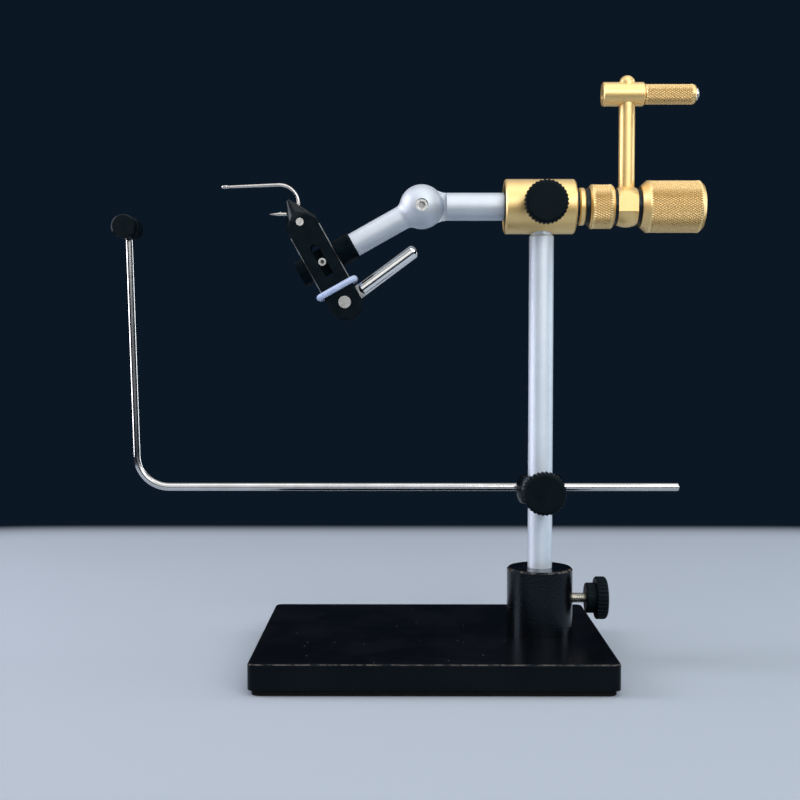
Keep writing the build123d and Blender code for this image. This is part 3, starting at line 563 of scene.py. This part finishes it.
def rod_stainless():
    """Drawn stainless rod, with faint lines along its long run and up its leg."""
    f = finish("rod_stainless")
    run = f.noise(0.5 * MM, rough=0.6, place=f.stretched(RIGHT, DRAWN_OUT))
    leg = f.noise(0.5 * MM, rough=0.6, place=f.stretched(UP, DRAWN_OUT))
    on_run = f.along(RIGHT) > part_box("cradle_rod")[0].x + ROD_LEG_SHARE
    drawn = run * on_run + leg * (1 - on_run)
    cloud = f.noise(6 * MM, detail=3.0)
    return f.surface(
        Base_Color=f.patches(cloud, ROD_TONES),
        Metallic=1.0,
        Roughness=f.spread(drawn, 0.1, 0.15) + cloud * 0.04,
        Normal=f.bump(drawn, 0.0006 * MM),
    )


# New pieces
def finished(name, bm, material, body, replaced):
    """Turns a bmesh into a piece that rides on a body and stands for a CAD node."""
    bmesh.ops.remove_doubles(bm, verts=bm.verts, dist=MERGE)
    bmesh.ops.recalc_face_normals(bm, faces=bm.faces)
    mesh = bpy.data.meshes.new(name)
    bm.to_mesh(mesh)
    bm.free()
    mesh.materials.append(material)
    for face in mesh.polygons:
        face.use_smooth = True
    mesh.set_sharp_from_angle(angle=SMOOTH_ANGLE)
    piece = bpy.data.objects.new(name, mesh)
    bpy.context.scene.collection.objects.link(piece)
    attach(piece, body)
    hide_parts(replaced)


def outline(bm, points):
    """A chain of vertices and edges through points (along X, out from X), in the plane above the X axis."""
    verts = [bm.verts.new((x, 0.0, r)) for x, r in points]
    return [bm.edges.new(pair) for pair in zip(verts, verts[1:])]


def round_bevel(bm, edges, width, steps):
    bmesh.ops.bevel(bm, geom=edges, offset=width, affect="EDGES", segments=steps, profile=0.5, material=-1)


def knurled(name, node, body, before, after, knurl):
    """A piece turned about X, with a diamond knurl between its two plain ends.

    before and after are the outline's points (along X, radius) up to and from the knurl."""
    low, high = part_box(node)
    axis = (low + high) / 2
    bm = bmesh.new()
    edges = outline(bm, before + after)
    band = edges[len(before) - 1]
    band_start, radius = before[-1]
    band_end = after[0][0]
    rows = 2 * round((band_end - band_start) / knurl["pitch"])
    bmesh.ops.subdivide_edges(bm, edges=[band], cuts=rows - 1)
    steps = 2 * knurl["crests"]
    geometry = bm.verts[:] + bm.edges[:]
    bmesh.ops.spin(bm, geom=geometry, axis=RIGHT, angle=2 * math.pi, steps=steps, use_merge=True)
    bmesh.ops.remove_doubles(bm, verts=bm.verts, dist=MERGE)
    row_length = (band_end - band_start) / rows
    crests = []
    for vert in bm.verts:
        row = round((vert.co.x - band_start) / row_length)
        on_band = abs(math.hypot(vert.co.y, vert.co.z) - radius) < KNURL_TOLERANCE
        if not on_band or not 0 < row < rows:
            continue
        step = round(math.atan2(vert.co.y, vert.co.z) * steps / (2 * math.pi))
        if (row + step) % 2:
            crests.append(vert)
        else:
            vert.co.yz *= 1 - knurl["depth"] / radius
    cut = [face for vert in crests for face in vert.link_faces]
    bmesh.ops.triangulate(bm, faces=list(set(cut)), quad_method="SHORT_EDGE")
    bmesh.ops.bevel(
        bm, geom=crests, offset=knurl["flat"], affect="VERTICES", segments=1, profile=0.5, material=-1
    )
    bmesh.ops.translate(bm, verts=bm.verts, vec=(0.0, axis.y, axis.z))
    gold = gold_anodised(RIGHT, (axis, band_start, band_end, radius, knurl["depth"]))
    finished(name, bm, gold, body, node)


def drag_ring():
    low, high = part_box("drag_ring")
    radius = (high.z - low.z) / 2
    bore = RING_BORE_RADIUS
    bore_rim = bore + RING_BORE_EDGE
    face = radius - RING_CHAMFER
    inner_start = (low.x + RING_BORE_EDGE, bore)
    before = [inner_start, (low.x, bore_rim), (low.x, face), (low.x + RING_CHAMFER, radius)]
    after = [(high.x - RING_CHAMFER, radius), (high.x, face), (high.x, bore_rim)]
    after += [(high.x - RING_BORE_EDGE, bore), inner_start]
    knurled("drag_ring_knurled", "drag_ring", "drag_ring", before, after, RING_KNURL)


def hand_knob():
    low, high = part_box("hand_knob")
    radius = (high.z - low.z) / 2
    shoulder = low.x + KNOB_FRONT_CHAMFER
    before = [(low.x, 0.0), (low.x, KNOB_FACE_RADIUS), (shoulder, radius)]
    before += [(shoulder + KNOB_PLAIN_BAND, radius)]
    end_radius = radius - KNOB_REAR_CHAMFER
    after = [(high.x - KNOB_REAR_CHAMFER, radius), (high.x, end_radius), (high.x, 0.0)]
    knurled("hand_knob_knurled", "hand_knob", "spindle", before, after, KNOB_KNURL)


def crank_grip():
    low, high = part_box("crank_grip")
    radius = (high.z - low.z) / 2
    bore = GRIP_BORE_RADIUS
    head_seat = high.x - GRIP_HEAD_DEPTH
    start_face = radius - GRIP_START_CHAMFER
    before = [(low.x, bore), (low.x, start_face), (low.x + GRIP_START_CHAMFER, radius)]
    end = high.x - GRIP_END_TRIM
    after = []
    for turn in GRIP_END_ANGLES:
        ahead = GRIP_END_ROUND * (1 - math.sin(math.radians(turn)))
        inwards = GRIP_END_ROUND * (1 - math.cos(math.radians(turn)))
        after.append((end - ahead, radius - inwards))
    after += [(end, GRIP_HEAD_RADIUS), (head_seat, GRIP_HEAD_RADIUS), (head_seat, bore), (low.x, bore)]
    knurled("crank_grip_knurled", "crank_grip", "crank_grip", before, after, GRIP_KNURL)


def threaded_stud(node, body):
    """A clamp stud with its thread cut as a real helix, closed at both ends."""
    low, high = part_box(node)
    size = high - low
    length = max(size)
    crest = min(size) / 2
    root = crest - THREAD_DEPTH
    bm = bmesh.new()
    shape = [(0.0, root), (THREAD_CREST_START, crest), (THREAD_CREST_END, crest)]
    shape += [(THREAD_ROOT_START, root), (1.0, root)]
    outline(bm, [(share * THREAD_PITCH, r) for share, r in shape])
    turns = math.ceil(length / THREAD_PITCH) + THREAD_SPARE_TURNS
    step = RIGHT * (THREAD_PITCH / THREAD_STEPS)
    geometry = bm.verts[:] + bm.edges[:]
    bmesh.ops.spin(
        bm, geom=geometry, axis=RIGHT, dvec=step, angle=2 * math.pi * turns, steps=THREAD_STEPS * turns
    )
    bmesh.ops.remove_doubles(bm, verts=bm.verts, dist=THREAD_MERGE)
    for place, outwards in ((THREAD_TRIM, -RIGHT), (THREAD_TRIM + length, RIGHT)):
        geometry = bm.verts[:] + bm.edges[:] + bm.faces[:]
        cut = bmesh.ops.bisect_plane(
            bm, geom=geometry, plane_co=RIGHT * place, plane_no=outwards, clear_outer=True
        )
        rim = [item for item in cut["geom_cut"] if isinstance(item, bmesh.types.BMEdge)]
        bmesh.ops.edgeloop_fill(bm, edges=rim)
    bmesh.ops.translate(bm, verts=bm.verts, vec=RIGHT * (-THREAD_TRIM - length / 2))
    if size.y == length:
        bmesh.ops.rotate(bm, verts=bm.verts, matrix=Matrix.Rotation(math.radians(90), 3, "Z"))
    bmesh.ops.translate(bm, verts=bm.verts, vec=centre(node))
    finished(node + "_threaded", bm, zinc_plate(), body, node)


def tube(points, radii, closed=False):
    """A bmesh of a round wire along points, with a radius at each."""
    curve = bpy.data.curves.new("wire", "CURVE")
    curve.dimensions = "3D"
    curve.bevel_depth = 1.0
    curve.bevel_resolution = WIRE_RESOLUTION
    curve.use_fill_caps = not closed
    spline = curve.splines.new("POLY")
    spline.points.add(len(points) - 1)
    for point, place, radius in zip(spline.points, points, radii):
        point.co = (*place, 1.0)
        point.radius = radius
    spline.use_cyclic_u = closed
    wire = bpy.data.objects.new("wire", curve)
    mesh = bpy.data.meshes.new_from_object(wire)
    bm = bmesh.new()
    bm.from_mesh(mesh)
    bpy.data.objects.remove(wire)
    bpy.data.curves.remove(curve)
    bpy.data.meshes.remove(mesh)
    return bm


def arc(middle, radius, start, end, steps):
    """Points on an upright arc, from angle start to end in degrees, measured from +X to +Z."""
    angles = [math.radians(start + (end - start) * k / steps) for k in range(steps + 1)]
    return [middle + Vector((math.cos(a), 0.0, math.sin(a))) * radius for a in angles]


def joined(*parts):
    """One bmesh from several."""
    whole = bmesh.new()
    for part in parts:
        mesh = bpy.data.meshes.new("part")
        part.to_mesh(mesh)
        part.free()
        whole.from_mesh(mesh)
        bpy.data.meshes.remove(mesh)
    return whole


def fish_hook():
    """The hook in the jaws: ringed eye, tapered shank, round bend, barb and needle point."""
    low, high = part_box("fish_hook")
    wire = HOOK_WIRE / 2
    tip = HOOK_TIP_DIAMETER / 2
    shank_z = high.z - wire
    bend_x = high.x - wire
    eye_x = low.x + HOOK_SHANK_TRIM + HOOK_EYE_RADIUS + HOOK_EYE_WIRE / 2
    bend = Vector((bend_x - HOOK_BEND_RADIUS, 0.0, shank_z - HOOK_BEND_RADIUS))
    throat = Vector((bend_x - HOOK_THROAT_RADIUS, 0.0, bend.z))
    line = arc(bend, HOOK_BEND_RADIUS, 90 + HOOK_SHANK_TILT, 0, HOOK_BEND_STEPS)
    tilt = math.radians(HOOK_SHANK_TILT)
    along_shank = Vector((-math.cos(tilt), 0.0, -math.sin(tilt)))
    eye = line[0] + along_shank * (bend.x - eye_x)
    shank_start = eye - along_shank * HOOK_EYE_RADIUS
    shank = [shank_start.lerp(line[0], k / HOOK_SHANK_POINTS) for k in range(HOOK_SHANK_POINTS)]
    curve = line + arc(throat, HOOK_THROAT_RADIUS, 0, -90, HOOK_THROAT_STEPS)[1:]
    spear = curve[-1] - RIGHT * HOOK_SPEAR_LENGTH
    point = spear - RIGHT * HOOK_POINT_LENGTH
    shares = [k / HOOK_POINT_STEPS for k in range(HOOK_POINT_STEPS + 1)]
    needle = [spear.lerp(point, share) for share in shares]
    growth = 1 - HOOK_SHANK_TAPER
    last = HOOK_SHANK_POINTS - 1
    radii = [wire * (HOOK_SHANK_TAPER + growth * k / last) for k in range(HOOK_SHANK_POINTS)]
    radii += [wire] * len(curve)
    radii += [tip + (wire - tip) * (1 - share**HOOK_POINT_CURVE) for share in shares]
    body = tube(shank + curve + needle, radii)
    round_eye = [2 * math.pi * k / HOOK_EYE_STEPS for k in range(HOOK_EYE_STEPS)]
    eye_line = [eye + (along_shank * math.cos(a) + BACK * math.sin(a)) * HOOK_EYE_RADIUS for a in round_eye]
    ring = tube(eye_line, [HOOK_EYE_WIRE / 2] * HOOK_EYE_STEPS, closed=True)
    barb_root = spear - RIGHT * HOOK_BARB_SETBACK
    barb_tip = barb_root + RIGHT * HOOK_BARB_LENGTH + UP * (HOOK_BARB_RISE + wire * HOOK_BARB_LIFT)
    barb = tube([barb_root, barb_tip], [wire * HOOK_BARB_THICKNESS, tip])
    bm = joined(body, ring, barb)
    finished("fish_hook_wire", bm, hook_wire(), "jaw_core", "fish_hook")


def jaw_o_ring():
    """The ring stretched round both jaws: straight along their faces, round at their edges."""
    wire = O_RING_WIRE / 2
    middle = centre("jaw_o_ring")
    low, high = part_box("jaw_o_ring")
    half_y = (high.y - low.y) / 2 - wire + O_RING_SWELL
    half_u = ((high.x - low.x) / 2 - wire) / ARM_AXIS.x + O_RING_SWELL
    corners = [(1, 1), (-1, 1), (-1, -1), (1, -1)]
    points = []
    for index, (side, depth) in enumerate(corners):
        heart = ARM_AXIS * side * (half_u - O_RING_CORNER) + BACK * depth * (half_y - O_RING_CORNER)
        for k in range(O_RING_CORNER_STEPS + 1):
            angle = math.radians(90 * index + 90 * k / O_RING_CORNER_STEPS)
            outwards = ARM_AXIS * math.cos(angle) + BACK * math.sin(angle)
            points.append(middle + heart + outwards * O_RING_CORNER)
    bm = tube(points, [wire + O_RING_SWELL] * len(points), closed=True)
    finished("jaw_o_ring_soft", bm, ring_silicone(), "jaw_core", "jaw_o_ring")


def base_pad():
    """Rubber pad under the plate, with rounded corners and softened edges."""
    low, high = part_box("base_pad")
    size = high - low
    bm = bmesh.new()
    bmesh.ops.create_cube(bm, size=1.0)
    bmesh.ops.scale(bm, verts=bm.verts, vec=size)
    upright = [edge for edge in bm.edges if abs(edge.verts[0].co.z - edge.verts[1].co.z) > size.z / 2]
    round_bevel(bm, upright, PAD_CORNER, PAD_CORNER_STEPS)
    rims = [edge for edge in bm.edges if edge.verts[0].co.z == edge.verts[1].co.z]
    round_bevel(bm, rims, PAD_RIM, PAD_RIM_STEPS)
    bmesh.ops.translate(bm, verts=bm.verts, vec=centre("base_pad"))
    finished("base_pad_rubber", bm, pad_rubber(), "base", "base_pad")


drag_ring()
hand_knob()
crank_grip()
threaded_stud("pedestal_clamp_stud", "pedestal_clamp")
threaded_stud("head_lock_stud", "head_lock")
threaded_stud("cradle_clamp_stud", "cradle_clamp")
fish_hook()
jaw_o_ring()
base_pad()

# Finishes of the CAD nodes that stay
KNOB_FINISH = moulded_black(
    "knob_grain", grain_size=0.16 * MM, grain_depth=0.02 * MM, rough_low=0.42, rough_high=0.55, gloss=0.11
)
SPOOL_FINISH = moulded_black(
    "spool_gloss", grain_size=0.6 * MM, grain_depth=0.006 * MM, rough_low=0.2, rough_high=0.28, gloss=0.16
)
WASHER_FINISH = moulded_black(
    "washer_nylon", grain_size=0.3 * MM, grain_depth=0.01 * MM, rough_low=0.34, rough_high=0.46, gloss=0.4
)
PLATE_PAINT = black_paint("plate_paint", peel_depth=0.06 * MM, rough_low=0.2, rough_high=0.27, gloss=0.13)
PEDESTAL_PAINT = black_paint(
    "pedestal_paint", peel_depth=0.12 * MM, rough_low=0.14, rough_high=0.19, gloss=0.28
)
JAW_FINISH = jaw_steel(gloss=0.1, bare_highlight=0.5)
GOLD_X = gold_anodised(RIGHT)
GOLD_Z = gold_anodised(UP)
STEEL_Y = bright_steel(BACK)
BRONZE = bush_bronze()
NODE_FINISH = {
    "base_plate": PLATE_PAINT,
    "pedestal": PEDESTAL_PAINT,
    "pedestal_bolt": zinc_plate(),
    "pedestal_clamp_knob": KNOB_FINISH,
    "head_lock_knob": KNOB_FINISH,
    "cradle_clamp_knob": KNOB_FINISH,
    "post": silver_satin(UP, POST_TONES),
    "head_barrel": GOLD_X,
    "front_bush": BRONZE,
    "rear_bush": BRONZE,
    "front_thrust_washer": WASHER_FINISH,
    "spindle_arm": silver_satin(RIGHT, ARM_TONES),
    "barrel_washer": WASHER_FINISH,
    "pressure_ring": GOLD_X,
    "ring_washer": WASHER_FINISH,
    "hub_washer": WASHER_FINISH,
    "crank_hub": GOLD_X,
    "knob_washer": WASHER_FINISH,
    "crank_rod": GOLD_Z,
    "handle_holder": GOLD_X,
    "holder_set_screw": bright_steel(RIGHT, "holder_set_screw", HOLDER_SOCKET),
    "grip_axle": bright_steel(RIGHT, "grip_axle", AXLE_SOCKET),
    "forward_arm": silver_satin(ARM_AXIS, ARM_TONES),
    "knuckle_screw": bright_steel(BACK, "knuckle_screw", KNUCKLE_SOCKET, shade=0.35),
    "jaw_carriage": jaw_steel(gloss=0.03, bare_highlight=0.0),
    "jaw_guide_stud": bright_steel(BACK, "jaw_guide_stud", STUD_SOCKET),
    "front_jaw": JAW_FINISH,
    "rear_jaw": JAW_FINISH,
    "jaw_pin": STEEL_Y,
    "cam_pin": STEEL_Y,
    "cam_lever": lever_chrome(),
    "cradle_collar": collar_black(),
    "cradle_rod": rod_stainless(),
    "thread_rest_spool": SPOOL_FINISH,
}
for node, material in NODE_FINISH.items():
    nodes[node].material_slots[0].material = material


# Floor, light and camera
def studio_world():
    """A plain dark blue backdrop that grows pale overhead."""
    world = bpy.data.worlds.new("studio_world")
    bpy.context.scene.world = world
    f = Finish(world)
    height = f.along(UP, f.node("TexCoord", output="Generated"))
    sky = f.blend(f.ease(height, OVERHEAD_START, OVERHEAD_END), BACKDROP, OVERHEAD)
    f.feed(f.tree.nodes["Background"].inputs["Color"], sky)


def studio_floor():
    """A pale floor that runs out into the backdrop."""
    bm = bmesh.new()
    bmesh.ops.create_circle(bm, cap_ends=True, segments=FLOOR_SEGMENTS, radius=FLOOR_RADIUS)
    mesh = bpy.data.meshes.new("studio_floor")
    bm.to_mesh(mesh)
    bm.free()
    f = finish("studio_floor")
    far = f.along(RIGHT) ** FADE_SQUARENESS + f.along(BACK) ** FADE_SQUARENESS
    pale = f.node("BsdfDiffuse", None, {"Color": FLOOR})
    dark = f.node("Emission", None, {"Color": BACKDROP})
    share = f.ease(far, FADE_START**FADE_SQUARENESS, FADE_END**FADE_SQUARENESS)
    ground = f.node("MixShader", None, {0: share, 1: pale, 2: dark})
    f.feed(f.tree.nodes["Material Output"].inputs["Surface"], ground)
    mesh.materials.append(f.owner)
    floor = bpy.data.objects.new("studio_floor", mesh)
    bpy.context.scene.collection.objects.link(floor)


def soft_box(name, place, width, height, power, tint):
    light = bpy.data.lights.new(name, "AREA")
    light.shape = "RECTANGLE"
    light.size = width
    light.size_y = height
    light.energy = power
    light.color = tint
    box = bpy.data.objects.new(name, light)
    box.location = place
    box.rotation_mode = "QUATERNION"
    box.rotation_quaternion = (AIM - Vector(place)).to_track_quat("-Z", "Y")
    box.visible_camera = False
    bpy.context.scene.collection.objects.link(box)


def photo_camera():
    lens = bpy.data.cameras.new("photo_camera")
    lens.lens = CAMERA_LENS_MM
    lens.sensor_width = CAMERA_SENSOR_MM
    camera = bpy.data.objects.new("photo_camera", lens)
    camera.location = CAMERA_PLACE
    camera.rotation_euler = (math.radians(90) - CAMERA_PITCH, 0.0, CAMERA_YAW)
    bpy.context.scene.collection.objects.link(camera)
    bpy.context.scene.camera = camera


studio_world()
studio_floor()
for name, settings in SOFT_BOXES.items():
    soft_box(name, *settings)
photo_camera()
bpy.context.scene.view_settings.view_transform = "Standard"
